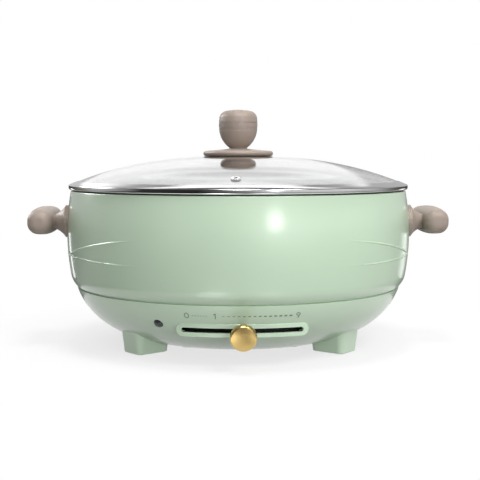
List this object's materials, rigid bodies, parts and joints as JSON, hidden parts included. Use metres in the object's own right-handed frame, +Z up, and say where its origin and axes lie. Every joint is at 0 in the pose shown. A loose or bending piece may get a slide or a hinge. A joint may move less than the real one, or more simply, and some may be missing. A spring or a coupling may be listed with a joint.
{
  "type": "electric hot pot",
  "caption": "Round electric hot pot with a lift-off glass lid, side handles, moulded feet and a heat slider in an arc slot.",
  "frame": {"origin": "on the pot's axis, on the surface that the feet stand on", "axes": "+Z up along the pot's axis, -Y to the front with the slot and the knob, +X to the right handle"},
  "size_m": [0.411, 0.3445, 0.2296],
  "materials": {
    "clear_glass": "tempered, clear",
    "polished_steel": "polished",
    "plain_steel": "zinc plated",
    "taupe_plastic": "satin moulded",
    "green_plastic": "gloss moulded",
    "black_plastic": "matt moulded",
    "smoked_lens": "gloss, dark",
    "coated_aluminium": "dark non-stick inside",
    "shield_sheet": "bright sheet",
    "brass": "satin",
    "silicone": "soft",
    "foot_rubber": "soft",
    "ceramic": "glazed"
  },
  "bodies": {
    "base": {"inner_pot": "coated_aluminium", "pot_gasket": "silicone", "upper_shell": "green_plastic", "lower_shell": "green_plastic", "foot_pads": "foot_rubber", "base_plate": "green_plastic", "base_screws": "plain_steel", "heating_element": "plain_steel", "heat_shield": "shield_sheet", "pot_studs": "plain_steel", "stud_nuts": "plain_steel", "shield_nuts": "plain_steel", "thermostat_body": "ceramic", "thermostat_bracket": "plain_steel", "bracket_screws": "plain_steel", "thermal_fuse": "polished_steel", "fuse_strap": "plain_steel", "terminal_block": "ceramic", "indicator_lens": "smoked_lens", "indicator_lamp": "black_plastic", "power_inlet": "black_plastic", "inlet_pins": "brass", "left_handle": "taupe_plastic", "right_handle": "taupe_plastic", "handle_screws": "plain_steel"},
    "lid": {"lid_glass": "clear_glass", "lid_rim_ring": "polished_steel", "vent_eyelet": "polished_steel", "lid_knob": "taupe_plastic", "knob_collar": "taupe_plastic", "knob_grommet": "silicone", "knob_cup": "taupe_plastic", "knob_washer": "plain_steel", "knob_screw": "plain_steel", "knob_insert": "brass"},
    "slider": {"thermostat_spindle": "plain_steel", "slider_lever": "plain_steel", "lever_clip": "plain_steel", "slot_shutter": "black_plastic", "slider_knob": "brass"}
  },
  "joints": [
    {"name": "lid_lift", "type": "slide", "parent": "base", "child": "lid", "axis": [0, 0, 1], "range_m": [0, 0.12]},
    {"name": "heat_slider", "type": "hinge", "parent": "base", "child": "slider", "pos_m": [0, 0, 0.035], "axis": [0, 0, 1], "range_deg": [-18.3, 18.3]}
  ]
}
